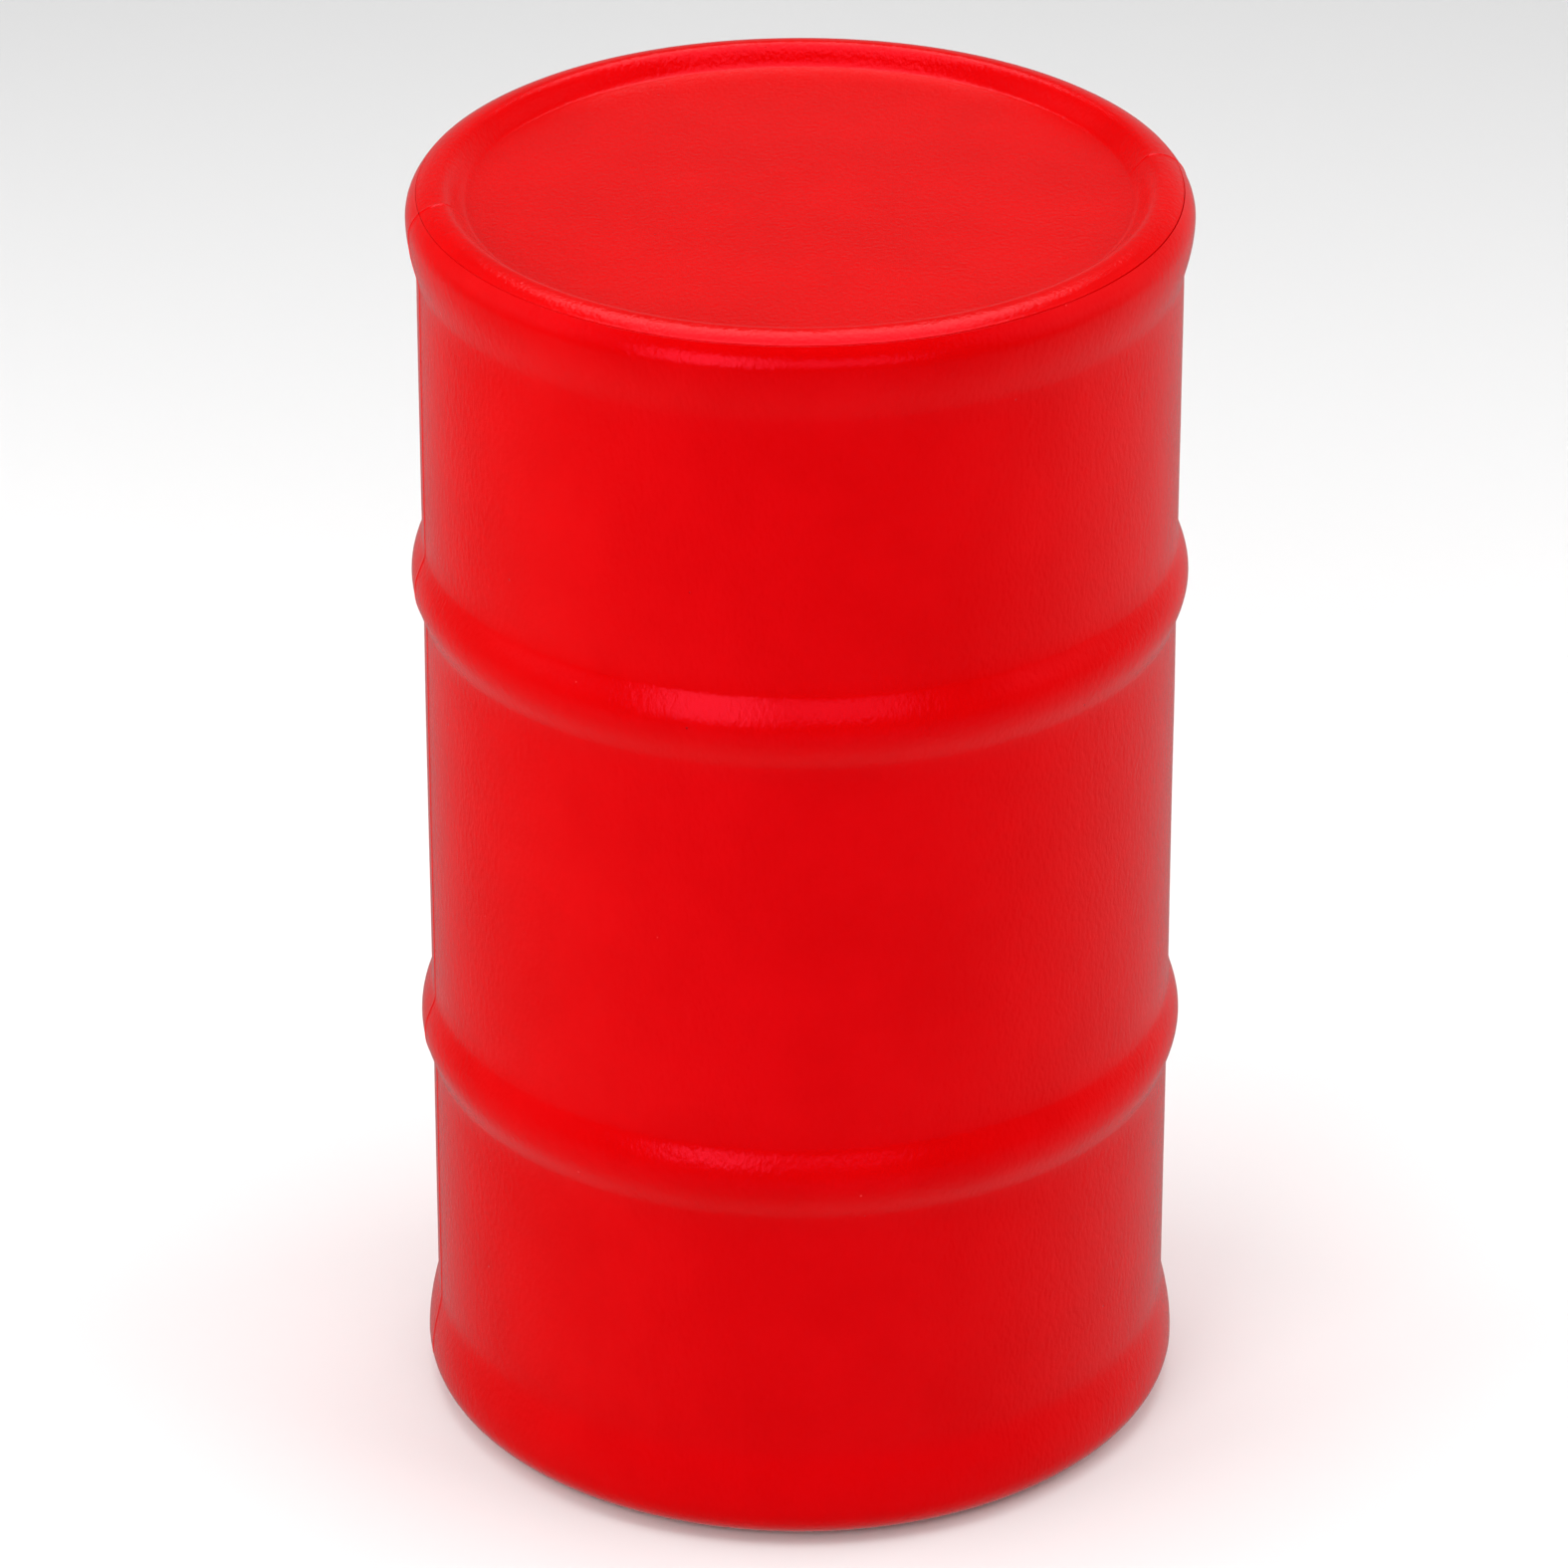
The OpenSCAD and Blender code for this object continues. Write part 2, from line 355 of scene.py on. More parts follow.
def pocket_rings(border_out, border_in):
    """Rings from the wall's outer window through the drain's pocket, bore and boss to the inner one."""
    lip, fillet, bore = 0.004, 0.003, FITTING_R + 0.0005
    angles = [math.atan2(p.z - DRAIN_Z, p.x) for p in border_out]

    def circle(radius, depth):
        return [Vector((radius * math.cos(a), depth, DRAIN_Z + radius * math.sin(a))) for a in angles]

    def on_wall(radius, inset, sink=0.0):
        return [wall_point(p.x, p.z, inset) - Vector((0, sink, 0)) for p in circle(radius, 0)]

    def between(border, radius, inset, shares):
        rings = []
        for share in shares:
            mixed = [p.lerp(q, share) for p, q in zip(border, on_wall(radius, inset))]
            rings.append([wall_point(p.x, p.z, inset) for p in mixed])
        return rings

    rings = between(border_out, POCKET_R + lip, 0, (0.35, 0.7, 1))
    for step in (20, 40, 60, 75, 90):
        a = math.radians(step)
        rings.append(on_wall(POCKET_R + lip * (1 - math.sin(a)), 0, lip * (1 - math.cos(a))))
    for step in (0, 30, 60, 90):
        a = math.radians(step)
        rings.append(circle(POCKET_R - fillet * (1 - math.cos(a)), POCKET_Y + fillet * (1 - math.sin(a))))
    rings += [circle(bore + 0.0006, POCKET_Y), circle(bore, POCKET_Y - 0.0006)]
    rings += [circle(bore, BOSS_Y + 0.0006), circle(bore + 0.0006, BOSS_Y)]
    rings += [circle(BOSS_R - 0.002, BOSS_Y), circle(BOSS_R, BOSS_Y + 0.002)]
    rings += [on_wall(BOSS_R, WALL_T, fillet), on_wall(BOSS_R + fillet, WALL_T)]
    return rings + between(border_in, BOSS_R + fillet, WALL_T, (0.6, 0.3))


def shell(material):
    """The turned shell, with the drain's pocket in place of a window of its wall at the back."""
    half = BOSS_R + WINDOW_MARGIN
    window = (DRAIN_Z - half, DRAIN_Z + half)
    outline = shell_outline(window)
    angles = fine_angles()
    columns = len(angles)
    points = turned(outline, angles, wall_shift)
    quarter = min(range(columns), key=lambda j: abs(angles[j] - math.pi / 2))
    left, right = quarter - WINDOW // 2, quarter + WINDOW // 2

    def window_rows(inset):
        return [i for i, (r, z) in enumerate(outline)
                if abs(r - wall_radius(z) + inset) < TINY and window[0] - TINY < z < window[1] + TINY]

    def border(window_row):
        lowest = min(window_row, key=lambda i: outline[i][1])
        highest = max(window_row, key=lambda i: outline[i][1])
        up = 1 if highest > lowest else -1
        loop = [(lowest, j) for j in range(left, right)]
        loop += [(i, right) for i in range(lowest, highest, up)]
        loop += [(highest, j) for j in range(right, left, -1)]
        loop += [(i, left) for i in range(highest, lowest, -up)]
        return [i * columns + j for i, j in loop]

    faces = []
    hidden = [window_rows(0), window_rows(WALL_T)]
    for face in ring_faces(len(outline), columns, False):
        row, column = divmod(face[0], columns)
        if left <= column < right and any(row in w and row + 1 in w for w in hidden):
            continue
        faces.append(face)
    outer, inner = border(hidden[0]), border(hidden[1])
    chain = [outer]
    for ring in pocket_rings([Vector(points[i]) for i in outer], [Vector(points[i]) for i in inner]):
        chain.append(list(range(len(points), len(points) + len(ring))))
        points += ring
    chain.append(inner)
    for near, far in zip(chain, chain[1:]):
        for j in range(len(near)):
            k = (j + 1) % len(near)
            faces.append((near[j], near[k], far[k], far[j]))
    piece = new_mesh("moulded_shell", points, faces)
    return dress(piece, "drum", material, ["drum_shell"])


def lid(material):
    """The lid: plate, rim, flange and skirt turned in one, with ribs under the plate."""
    edge = math.degrees(math.acos((LID_EDGE_R - CREST_R) / HEAD_HALF[0]))
    skirt_in_r = SKIRT_OUT_R - LID_T

    def slope_z(r):
        share = (max(0.0, r - PLATE_R) / (CREST_R - PLATE_R)) ** 0.8
        return PLATE_Z + (DRUM_H - PLATE_Z) * (1 - math.cos(math.pi * share)) / 2

    radii = [PLATE_R + (CREST_R - PLATE_R) * i / 14 for i in range(15)]
    inner_radii = [skirt_in_r + (PLATE_R - skirt_in_r) * i / 10 for i in range(11)]
    outline = span((0, PLATE_Z), (PLATE_R, PLATE_Z), 16) + [(r, slope_z(r)) for r in radii]
    outline += bow((CREST_R, HEAD_BEAD[0]), HEAD_HALF, 90, edge, 20)[1:]
    outline += [(LID_EDGE_R, GASKET_HIGH.z), (SKIRT_OUT_R, GASKET_HIGH.z), (SKIRT_OUT_R, SKIRT_LOW_Z),
                (skirt_in_r, SKIRT_LOW_Z)]
    outline += [(r, slope_z(r) - LID_T) for r in inner_radii]
    outline += span((PLATE_R * 0.9, PLATE_Z - LID_T), (0, PLATE_Z - LID_T), 5) + [(0.0, PLATE_Z - LID_T)]

    def shift(r, z, angle):
        if r > CREST_R and z > GASKET_HIGH.z + 0.0015:
            r, z = head_shift(r, z, angle)
            return min(r, LID_EDGE_R), z
        if r > CREST_R or z < slope_z(r) - LID_T / 2:
            return r, z
        fade = min(1.0, max(0.0, (r - PLATE_R) / 0.006))
        return r, z + waviness(r, z, angle) + fade * ridge(r, angle)

    piece = lathe("recessed_lid", softened(outline, EDGE_SOFT, closed=False), fine_angles(), False, shift)
    join(piece, [lid_ribs(skirt_in_r)])
    return dress(piece, "lid", material, ["lid"])


def lid_ribs(reach):
    """A ring and radial ribs that stiffen the plate from below."""
    overlap = 0.0015
    low, high = PLATE_Z - LID_T - RIB_H, PLATE_Z - LID_T + overlap
    inner_r = RIB_RING_R - RIB_T
    outline = [(inner_r, high), (RIB_RING_R, high), (RIB_RING_R, low), (inner_r, low)]
    ribs = lathe("ribs", softened(outline, 0.0006), even_angles(96))
    bars = []
    for i in range(RIB_COUNT):
        corners = [(r, s * RIB_T / 2, z) for r in (RIB_RING_R - RIB_T / 2, reach + 0.002)
                   for s in (-1, 1) for z in (low, high)]
        faces = [(0, 1, 3, 2), (4, 6, 7, 5), (0, 4, 5, 1), (2, 3, 7, 6), (0, 2, 6, 4), (1, 5, 7, 3)]
        bar = new_mesh("rib", corners, faces)
        bar.data.transform(Matrix.Rotation(TURN * i / RIB_COUNT, 4, "Z"))
        bars.append(bar)
    join(ribs, bars)
    return ribs


def flat_ring(name, low, high, inner_r, outer_r, soft, columns=160):
    """A washer of rectangular section with soft edges, its faces slightly crowned."""
    crown = (high - low) * 0.06
    mid = (inner_r + outer_r) / 2
    outline = [(inner_r, low), (mid, low), (outer_r, low), (outer_r, high), (mid, high), (inner_r, high)]
    crowned = []
    for r, z in softened(outline, soft):
        share = abs(r - mid) / (outer_r - inner_r)
        crowned.append((r, z + crown * math.copysign(share, low + high - 2 * z)))
    return lathe(name, crowned, even_angles(columns))


# ---------------------------------------------------------------- drain parts

def thread(along, angle):
    """0 at a right-hand thread's crest and 1 at its root."""
    phase = (along / PITCH - angle / TURN) % 1.0
    return min(1.0, max(0.0, 3.2 * abs(phase - 0.5) - 0.3))


def hex_radius(flats, angle):
    """Radius of a hexagon with slightly broken corners."""
    side = math.cos(math.remainder(angle - TURN / 12, TURN / 6))
    return min(flats / 2 / side, flats / 2 * HEX_CORNER)


def fitting(material):
    """Flanged tube with a thread inside for the plug and one outside for the nut."""
    low, high = FITTING_LOW.y, FITTING_HIGH.y
    flange_r, bore_r = (FITTING_HIGH.x - FITTING_LOW.x) / 2, PLUG_SHANK_R + THREAD_PLAY
    flange_low = RING_HIGH.y
    step = PITCH / 12
    outside = [(FITTING_R, z) for z in rows(low + 0.001, flange_low, step)]
    inside = [(bore_r, z) for z in rows(low + 0.001, high - 0.0015, step)]
    outline = [(bore_r + 0.0015, low), (FITTING_R - 0.002, low)] + outside
    outline += [(FITTING_R, flange_low), (flange_r - 0.001, flange_low), (flange_r, flange_low + 0.001),
                (flange_r, high - 0.0015), (flange_r - 0.0015, high), (bore_r + 0.0012, high)]
    outline += inside[::-1]

    def shift(r, z, angle):
        if abs(r - bore_r) < TINY:
            return r - PLUG_THREAD_H * thread(z, angle), z
        if abs(r - FITTING_R) < TINY and z < flange_low - PITCH:
            return r - NUT_THREAD_H * thread(z, angle), z
        return r, z

    piece = at_drain(lathe("threaded_drain_fitting", outline, even_angles(96), True, shift))
    return dress(piece, "drum", material, ["drain_fitting"])


def locknut(material):
    """Hexagonal nut with chamfered corners."""
    low, high, flats = NUT_LOW.y, NUT_HIGH.y, NUT_HIGH.z - NUT_LOW.z
    bore_r, corner_r = FITTING_R + THREAD_PLAY, flats / 2 * HEX_CORNER
    outline = [(corner_r, low + 0.003), (corner_r, high - 0.0012), (flats / 2 * 1.04, high),
               (bore_r + 0.0012, high), (bore_r, high - 0.0012), (bore_r, low + 0.0012),
               (bore_r + 0.0012, low), (flats / 2 * 0.97, low)]

    def shift(r, z, angle):
        return min(r, hex_radius(flats, angle)), z

    piece = at_drain(lathe("hexagonal_locknut", outline, even_angles(144), True, shift))
    return dress(piece, "drum", material, ["fitting_locknut"])


def plug(material):
    """Hollow threaded plug with a flange and a chamfered hexagonal head."""
    low, high, face = PLUG_LOW.y, PLUG_HIGH.y, SEAL_HIGH.y
    flange_r = (PLUG_HIGH.x - PLUG_LOW.x) / 2
    flange_high = face + PLUG_FLANGE_T
    hex_r = PLUG_FLATS / 2 * HEX_CORNER
    core_r = PLUG_SHANK_R - 0.005
    shank = [(PLUG_SHANK_R, z) for z in rows(low + 0.001, face - 0.001, PITCH / 12)]
    outline = [(0.0, face - 0.002), (core_r - 0.002, face - 0.002), (core_r, face - 0.004), (core_r, low)]
    outline += [(PLUG_SHANK_R - 0.0025, low)] + shank
    outline += [(PLUG_SHANK_R - 0.0018, face), (flange_r - 0.0006, face), (flange_r, face + 0.0008),
                (flange_r, flange_high - 0.0016), (flange_r - 0.0016, flange_high),
                (hex_r + 0.0015, flange_high), (hex_r, flange_high + 0.0015), (hex_r, high - 0.0025),
                (PLUG_FLATS / 2 * 0.98, high), (0.0095, high), (0.009, high - 0.0005),
                (0.0085, high - 0.004), (0.0, high - 0.0042)]

    def shift(r, z, angle):
        if abs(r - PLUG_SHANK_R) < TINY:
            return r - PLUG_THREAD_H * max(thread(z, angle), 1 - (z - low) / 0.002), z
        if r > flange_r - TINY:
            return r - 0.0004 * (1 + math.cos(48 * angle)), z
        if flange_high < z:
            return min(r, hex_radius(PLUG_FLATS, angle)), z
        return r, z

    piece = at_drain(lathe("screwed_drain_plug", outline, even_angles(192), False, shift))
    return dress(piece, "plug", material, ["drain_plug"])


# ---------------------------------------------------------------- sandbags

def bag_frame(number):
    """Centre of a bag's block, its half length, half width and half height, and its turn about Z."""
    low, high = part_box(f"sand_fill_{number}")
    centre, half = (low + high) / 2, (high - low) / 2
    across = half.x > half.y
    length, width = (half.x, half.y) if across else (half.y, half.x)
    return centre, length, width, half.z, math.pi / 2 if across else 0.0


def pillow(name, length, width, height):
    """A rounded block: a cube's grid pushed out onto a superellipsoid."""
    power, cells = 3.4, 26
    bm = bmesh.new()
    bmesh.ops.create_cube(bm, size=2)
    bmesh.ops.subdivide_edges(bm, edges=bm.edges, cuts=cells, use_grid_fill=True)
    for v in bm.verts:
        size = sum(abs(c) ** power for c in v.co) ** (1 / power)
        v.co = Vector((v.co.x * width, v.co.y * length, v.co.z * height)) / size
    mesh = bpy.data.meshes.new(name)
    bm.to_mesh(mesh)
    bm.free()
    return placed(name, mesh)


def slump(piece, seed):
    """Swells the bag as slack cloth round its fill, so that it creases."""
    remesh = piece.modifiers.new("remesh", "REMESH")
    remesh.mode = "VOXEL"
    remesh.voxel_size = 0.0055
    apply_modifiers(piece)
    before = [v.co.copy() for v in piece.data.vertices]
    cloth = piece.modifiers.new("cloth", "CLOTH")
    cloth.settings.quality = 6
    cloth.settings.mass = 0.25
    cloth.settings.tension_stiffness = 18
    cloth.settings.compression_stiffness = 18
    cloth.settings.bending_stiffness = 0.6
    cloth.settings.use_pressure = True
    cloth.settings.uniform_pressure_force = 3.0
    cloth.settings.shrink_min = -0.09
    cloth.settings.effector_weights.gravity = 0
    cloth.collision_settings.use_self_collision = False
    for v in piece.data.vertices:
        v.co += 0.0012 * Vector(noise.noise_vector(v.co * 40 + Vector((seed * 7.0, 0, 0))))
    scene = bpy.context.scene
    for step in range(1, CLOTH_FRAMES + 1):
        scene.frame_set(step)
    apply_modifiers(piece)
    for v, rest in zip(piece.data.vertices, before):
        moved = v.co - rest
        limit = INWARDS_LIMIT if moved.dot(rest) < 0 else OUTWARDS_LIMIT
        if moved.length > limit:
            v.co = rest + moved.normalized() * limit
    scene.frame_set(1)


def sandbag(number, material, sand_material, twine_material):
    """A bag with its gathered neck, the sand in it and the twine round the neck."""
    centre, length, width, height, turn = bag_frame(number)
    body = pillow(f"woven_sandbag_{number}", length, width, height)
    slump(body, number)
    limits = (width + 0.0018, length + 0.002, height + 0.002)
    neck_y = -(length + 0.002)
    for v in body.data.vertices:
        for axis, limit in enumerate(limits):
            v.co[axis] = math.copysign(min(abs(v.co[axis]), limit), v.co[axis])
    smooth = body.modifiers.new("smooth", "SUBSURF")
    smooth.levels = 1
    apply_modifiers(body)
    for v in body.data.vertices:
        if v.co.y < -0.7 * length:
            v.co.y += gather(number, v.co.x, v.co.z)
    join(body, [neck(number, neck_y)])
    fill = pillow(f"sand_{number}", length, width, height)
    fill_scale = 0.92
    fill.data.transform(Matrix.Scale(fill_scale, 4))
    place = Matrix.Translation(centre) @ Matrix.Rotation(turn, 4, "Z")
    tie = twine(number, neck_y - 0.006)
    for piece in (body, fill, tie):
        piece.data.transform(place)
    dress(body, "drum", material, [f"sandbag_{number}"], 0)
    dress(fill, "drum", sand_material, [f"sand_fill_{number}"], 0)
    dress(tie, "drum", twine_material, [f"bag_tie_{number}"], 0)


def pleat(number, angle):
    """0 in the fold and 1 on the crest of the uneven pleats round a bag's neck."""
    return 0.5 + 0.5 * math.cos(PLEATS * angle + 1.3 * math.sin(3 * angle + number))


def gather(number, x, z):
    """Depth of the pleats that run out from a bag's neck over its end."""
    reach = math.hypot(x, z) / 0.055
    return 0.005 * pleat(number, math.atan2(z, x)) * math.exp(-reach ** 2)


def neck(number, neck_y):
    """The gathered mouth: pleats that draw in to the tie and flare out again."""
    outline = [(0.0, -0.035), (0.045, -0.028), (0.036, -0.010), (0.022, -0.003), (0.0135, 0.004),
               (0.0118, 0.008), (0.0135, 0.012), (0.018, 0.019), (0.0225, 0.027), (0.0215, 0.0275),
               (0.012, 0.018), (0.0, 0.015)]

    def shift(r, z, angle):
        height = pleat(number, angle)
        depth = 0.0042 if z > 0.012 else 0.0016
        return r - depth * height * min(1.0, r / 0.02), z + 0.003 * height * (z > 0.02)

    piece = lathe("neck", outline, even_angles(132), False, shift)
    piece.data.transform(Matrix.Translation((0, neck_y, 0)) @ Matrix.Rotation(math.pi / 2, 4, "X"))
    return piece


def twine(number, y):
    """Two turns of twine round the neck, a knot and two short ends."""
    curve = bpy.data.curves.new("twine", "CURVE")
    curve.dimensions = "3D"
    curve.bevel_depth = 0.0013
    curve.bevel_resolution = 3
    line = curve.splines.new("NURBS")
    wrap_r = 0.0148
    wraps = [(wrap_r * math.cos(a), y - 0.0030 * (a / TURN - 1.1), wrap_r * math.sin(a))
             for a in (TURN * i / 18 for i in range(41))]
    ends = [(0.012, y - 0.004, 0.019), (0.005, y - 0.006, 0.0205), (-0.004, y - 0.010, 0.016)]
    route = [(0.010, y + 0.001, -0.022), (0.016, y + 0.0025, -0.012)] + wraps + ends
    line.points.add(len(route) - 1)
    for point, place in zip(line.points, route):
        point.co = (*place, 1)
    line.use_endpoint_u = True
    line.order_u = 4
    made = placed("twine", curve)
    graph = bpy.context.evaluated_depsgraph_get()
    mesh = bpy.data.meshes.new_from_object(made.evaluated_get(graph))
    bpy.data.objects.remove(made)
    return placed(f"knotted_twine_{number}", mesh)


# ---------------------------------------------------------------- materials

class Tree:
    """A node tree, with short calls for the nodes that the materials use."""

    def __init__(self, tree):
        self.tree = tree

    def add(self, kind, **values):
        node = self.tree.nodes.new(kind)
        for key, value in values.items():
            setattr(node, key, value)
        return node

    def link(self, source, target):
        self.tree.links.new(source, target)

    def fill(self, node, values):
        for key, value in values.items():
            if isinstance(value, bpy.types.NodeSocket):
                self.link(value, node.inputs[key])
            else:
                node.inputs[key].default_value = value
        return node

    def math(self, operation, a, b=0.0, c=0.0):
        node = self.fill(self.add("ShaderNodeMath", operation=operation), {0: a, 1: b, 2: c})
        return node.outputs[0]

    def ramp(self, value, low, high, to_low=0.0, to_high=1.0):
        node = self.fill(self.add("ShaderNodeMapRange", interpolation_type="SMOOTHSTEP"),
                         {"Value": value, "From Min": low, "From Max": high,
                          "To Min": to_low, "To Max": to_high})
        return node.outputs["Result"]


class Nodes(Tree):
    """The tree of a new material with one Principled shader."""

    def __init__(self, name, roughness=0.4, **sockets):
        self.material = bpy.data.materials.new(name)
        self.material.use_nodes = True
        super().__init__(self.material.node_tree)
        self.shader = self.tree.nodes["Principled BSDF"]
        self.shader.inputs["Roughness"].default_value = roughness
        for socket, value in sockets.items():
            self.shader.inputs[socket.replace("_", " ")].default_value = value
        self.place = self.add("ShaderNodeTexCoord").outputs["Object"]

    def scaled(self, x, y, z):
        node = self.fill(self.add("ShaderNodeMapping"), {"Vector": self.place, "Scale": (x, y, z)})
        return node.outputs["Vector"]

    def noise(self, scale, detail=2.0, roughness=0.5, place=None):
        node = self.fill(self.add("ShaderNodeTexNoise"),
                         {"Vector": place or self.place, "Scale": scale, "Detail": detail,
                          "Roughness": roughness})
        return node.outputs["Fac"]

    def cells(self, scale):
        return self.fill(self.add("ShaderNodeTexVoronoi"), {"Vector": self.place, "Scale": scale})

    def mix(self, share, a, b):
        node = self.add("ShaderNodeMix", data_type="RGBA")
        self.fill(node, {0: share, 6: a, 7: b})
        return node.outputs[2]

    def bump(self, height, distance, strength=1.0, below=None):
        values = {"Height": height, "Distance": distance, "Strength": strength}
        if below:
            values["Normal"] = below
        return self.fill(self.add("ShaderNodeBump"), values).outputs["Normal"]

    def finish(self, **sockets):
        self.fill(self.shader, {key.replace("_", " "): value for key, value in sockets.items()})
        return self.material


def red_plastic():
    """Satin red polyethylene: fine moulded grain, scattered pores and specks, a faint mottle, and painted
    shade that darkens the pores.
    """
    n = Nodes("red_polyethylene", IOR=1.5, Specular_Tint=(1.0, 0.06, 0.14, 1.0))
    grain = n.noise(320, 3.0, 0.5, n.scaled(1, 1, 0.5))
    cloud = n.noise(11, 4.0, 0.6)
    cells = n.cells(42)
    chosen = n.fill(n.add("ShaderNodeSeparateColor"), {"Color": cells.outputs["Color"]})
    spot = n.ramp(cells.outputs["Distance"], 0.042, 0.024)
    pore_and_painted_shade = n.math("MULTIPLY", spot, n.ramp(chosen.outputs["Red"], 0.84, 0.86))
    speck = n.math("MULTIPLY", spot, n.ramp(chosen.outputs["Green"], 0.90, 0.92))
    colour = n.mix(n.ramp(cloud, 0.32, 0.68), (0.60, 0.0002, 0.0004, 1), (0.64, 0.0003, 0.0006, 1))
    colour = n.mix(n.math("MULTIPLY", speck, 0.5), colour, (0.85, 0.10, 0.10, 1))
    # Painted shade: the pores' colour is darkened to stand in for the shade inside the pits.
    colour = n.mix(n.math("MULTIPLY", pore_and_painted_shade, 0.8), colour, (0.34, 0.0, 0.001, 1))
    roughness = n.math("ADD", n.ramp(cloud, 0.3, 0.7, 0.20, 0.22), n.math("MULTIPLY", pore_and_painted_shade, 0.2))
    normal = n.bump(grain, 0.0005, 0.9)
    normal = n.bump(n.math("SUBTRACT", 1.0, pore_and_painted_shade), 0.0006, 0.8, normal)
    return n.finish(Base_Color=colour, Roughness=roughness, Normal=normal)


def black_plastic():
    """Black polypropylene with a dull moulded grain."""
    n = Nodes("black_polypropylene", IOR=1.49)
    grain, cloud = n.noise(900, 2.0), n.noise(60, 3.0)
    colour = n.mix(cloud, (0.012, 0.012, 0.013, 1), (0.028, 0.028, 0.030, 1))
    return n.finish(Base_Color=colour, Roughness=n.ramp(cloud, 0.3, 0.7, 0.36, 0.52),
                    Normal=n.bump(grain, 0.00015, 0.6))


def rubber():
    n = Nodes("black_rubber", IOR=1.52)
    grain, dust = n.noise(1400, 2.0), n.noise(120, 4.0, 0.6)
    colour = n.mix(n.ramp(dust, 0.45, 0.8), (0.016, 0.016, 0.017, 1), (0.060, 0.058, 0.055, 1))
    return n.finish(Base_Color=colour, Roughness=n.ramp(dust, 0.3, 0.8, 0.62, 0.85),
                    Normal=n.bump(grain, 0.0001, 0.6))


def woven_bag():
    """White woven polypropylene: flat tapes over and under, dusty with sand, with painted shade where the
    tapes dip under.
    """
    n = Nodes("woven_polypropylene", IOR=1.49)
    n.shader.inputs["Sheen Weight"].default_value = 0.15
    waves = []
    for axis in ("X", "Y", "Z"):
        wave = n.fill(n.add("ShaderNodeTexWave", bands_direction=axis, wave_profile="SIN"),
                      {"Vector": n.place, "Scale": 125.0, "Distortion": 0.0})
        waves.append(wave.outputs["Fac"])
    over = n.math("MULTIPLY", n.math("ADD", waves[1], waves[2]), waves[0])
    dust = n.noise(22, 4.0, 0.62)
    tape = n.noise(90, 2.0, 0.5, n.scaled(6, 1, 1))
    colour = n.mix(n.ramp(dust, 0.42, 0.78), (0.70, 0.69, 0.62, 1), (0.46, 0.36, 0.22, 1))
    colour = n.mix(n.math("MULTIPLY", tape, 0.35), colour, (0.80, 0.80, 0.76, 1))
    # Painted shade: darker where the weave's height is low, in the hollows where the tapes dip under one
    # another.
    colour = n.mix(n.ramp(over, 0.0, 0.7, 0.35, 0.0), colour, (0.30, 0.27, 0.20, 1))
    return n.finish(Base_Color=colour, Roughness=n.ramp(dust, 0.3, 0.8, 0.45, 0.8),
                    Normal=n.bump(over, 0.0006, 0.8))


def sand():
    n = Nodes("dry_sand", roughness=0.9)
    grains = n.cells(900)
    tint = n.noise(500, 2.0)
    colour = n.mix(tint, (0.42, 0.30, 0.17, 1), (0.66, 0.52, 0.33, 1))
    return n.finish(Base_Color=colour, Normal=n.bump(grains.outputs["Distance"], 0.0006, 0.9))


def jute():
    n = Nodes("jute_twine", roughness=0.85)
    n.shader.inputs["Sheen Weight"].default_value = 0.3
    strands = n.noise(700, 3.0, 0.6, n.scaled(1, 3, 1))
    colour = n.mix(strands, (0.34, 0.22, 0.09, 1), (0.66, 0.49, 0.26, 1))
    return n.finish(Base_Color=colour, Normal=n.bump(strands, 0.0006, 0.9))


# ---------------------------------------------------------------- floor, light and camera

def floor():
    mesh = bpy.data.meshes.new("floor")
    reach = 14.0
    mesh.from_pydata([(-reach, -reach, 0), (reach, -reach, 0), (reach, reach, 0), (-reach, reach, 0)],
                     [], [(0, 1, 2, 3)])
    plane = placed("floor", mesh)
    material = bpy.data.materials.new("pale_floor")
    material.use_nodes = True
    shader = material.node_tree.nodes["Principled BSDF"]
    shader.inputs["Base Color"].default_value = (0.78, 0.78, 0.78, 1)
    shader.inputs["Roughness"].default_value = 0.9
    shader.inputs["Specular IOR Level"].default_value = 0.1
    mesh.materials.append(material)
    plane.visible_glossy = False


def softbox(name, azimuth, elevation, distance, target, size, radiance):
    """A lit rectangle facing the target; azimuth 0 is the camera's side and 90 the left of its view."""
    light = bpy.data.lights.new(name, "AREA")
    light.shape = "RECTANGLE"
    light.size, light.size_y = size
    light.energy = radiance * math.pi * size[0] * size[1]
    lamp = placed(name, light)
    a, e = math.radians(azimuth), math.radians(elevation)
    way = Vector((-math.sin(a) * math.cos(e), -math.cos(a) * math.cos(e), math.sin(e)))
    lamp.location = Vector(target) + distance * way
    lamp.rotation_euler = way.to_track_quat("Z", "Y").to_euler()
    return lamp


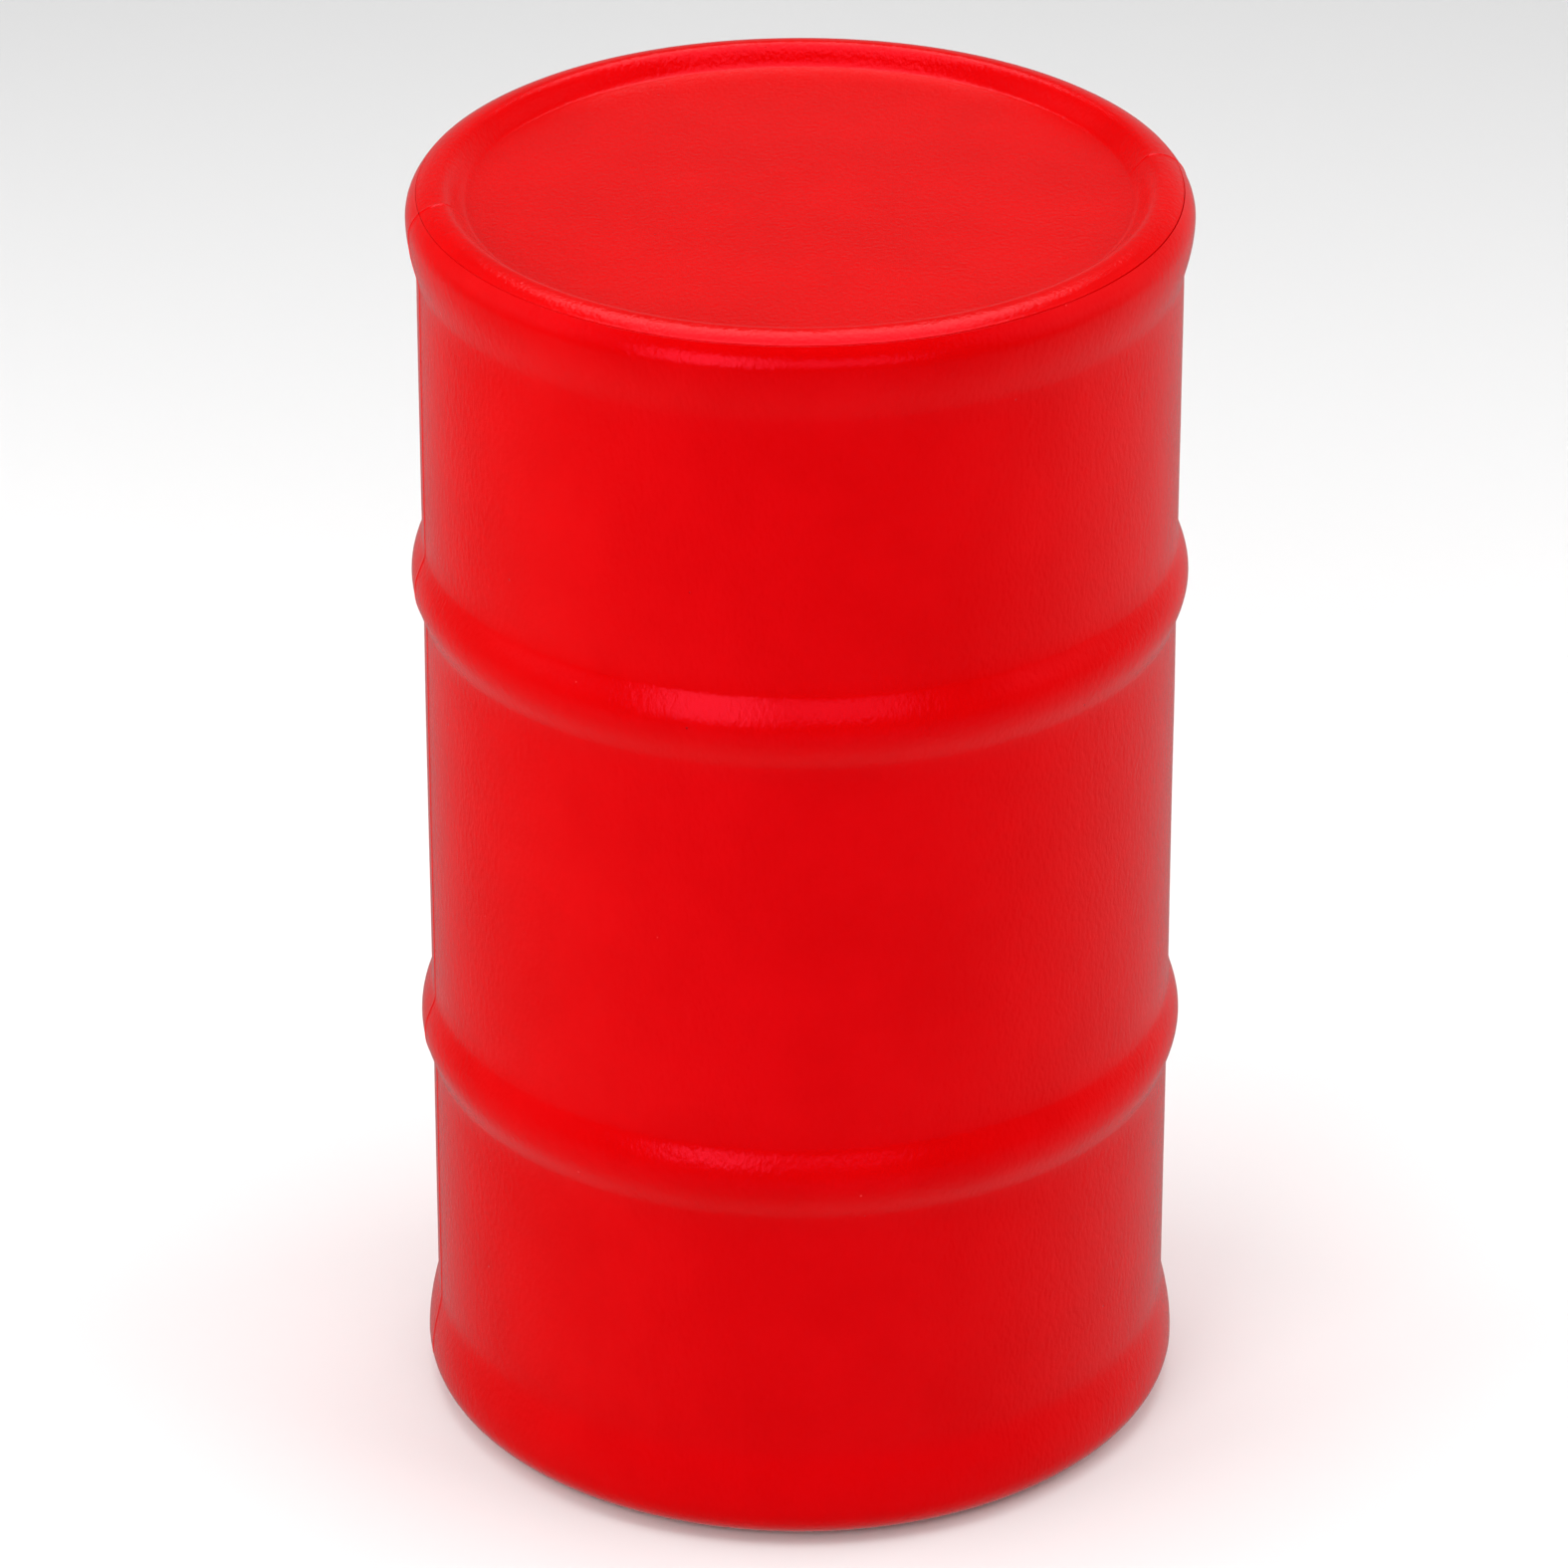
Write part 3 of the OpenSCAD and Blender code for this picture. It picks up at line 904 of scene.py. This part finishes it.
def studio():
    """Low light behind the drum, a box overhead, a key box and a wing at the front, and side fills."""
    world = bpy.data.worlds.new("studio")
    bpy.context.scene.world = world
    world.use_nodes = True
    sky = world.node_tree.nodes["Background"]
    sky.inputs["Color"].default_value = (1, 1, 1, 1)
    n = Tree(world.node_tree)
    way = n.add("ShaderNodeTexCoord").outputs["Generated"]
    tone = n.fill(n.add("ShaderNodeVectorMath", operation="DOT_PRODUCT"), {0: way, 1: (0.35, 1, -1)})
    n.link(n.ramp(tone.outputs["Value"], -0.05, 1.4, 0.05, 0.34), sky.inputs["Strength"])
    middle = (0, 0, DRUM_H / 2)
    softbox("overhead", 0, 90, 5.5, (0, 1.1, 0), (4.6, 5.6), 3.2)
    softbox("key", 25, 20, 2.4, middle, (1.2, 1.3), 4.6)
    softbox("wing", -12, 20, 2.6, middle, (1.6, 0.9), 2.1)
    fills = [softbox("left_fill", 88, 30, 2.6, middle, (3.0, 2.2), 2.6),
             softbox("right_fill", -88, 30, 2.6, middle, (3.0, 2.2), 2.8)]
    for lamp in fills:
        lamp.visible_glossy = False
    bpy.context.scene.view_settings.view_transform = "Standard"


def camera():
    """Long lens looking down at the drum, with the drum's axis slightly right of the middle."""
    distance, elevation = 5.829, math.radians(27.5)
    target = Vector((0, 0, DRUM_H / 2))
    data = bpy.data.cameras.new("camera")
    data.sensor_width = 36
    data.lens = 192.5
    data.shift_x = -0.0102
    made = placed("camera", data)
    made.location = target + distance * Vector((0, -math.cos(elevation), math.sin(elevation)))
    made.rotation_euler = (target - made.location).to_track_quat("-Z", "Y").to_euler()
    bpy.context.scene.camera = made


# ---------------------------------------------------------------- the object

def drum():
    red, black, dull = red_plastic(), black_plastic(), rubber()
    shell(red)
    lid(red)
    soft = 0.0006
    seat = flat_ring("lid_seat_ring", GASKET_LOW.z, GASKET_HIGH.z,
                     MOUTH_R + 0.0015, GASKET_HIGH.x, soft, 256)
    dress(seat, "lid", dull, ["lid_gasket"])
    fitting(black)
    locknut(black)
    plug(black)
    washer = flat_ring("fitting_washer", RING_LOW.y, RING_HIGH.y,
                       FITTING_R + 0.0004, RING_HIGH.x, soft)
    dress(at_drain(washer), "drum", dull, ["fitting_gasket"])
    washer = flat_ring("plug_washer_ring", SEAL_LOW.y, SEAL_HIGH.y,
                       PLUG_SHANK_R + 0.0005, SEAL_HIGH.x, soft)
    dress(at_drain(washer), "plug_washer", dull, ["plug_seal"])
    bag, grains, cord = woven_bag(), sand(), jute()
    for number in (1, 2, 3):
        sandbag(number, bag, grains, cord)


camera()
studio()
floor()
drum()
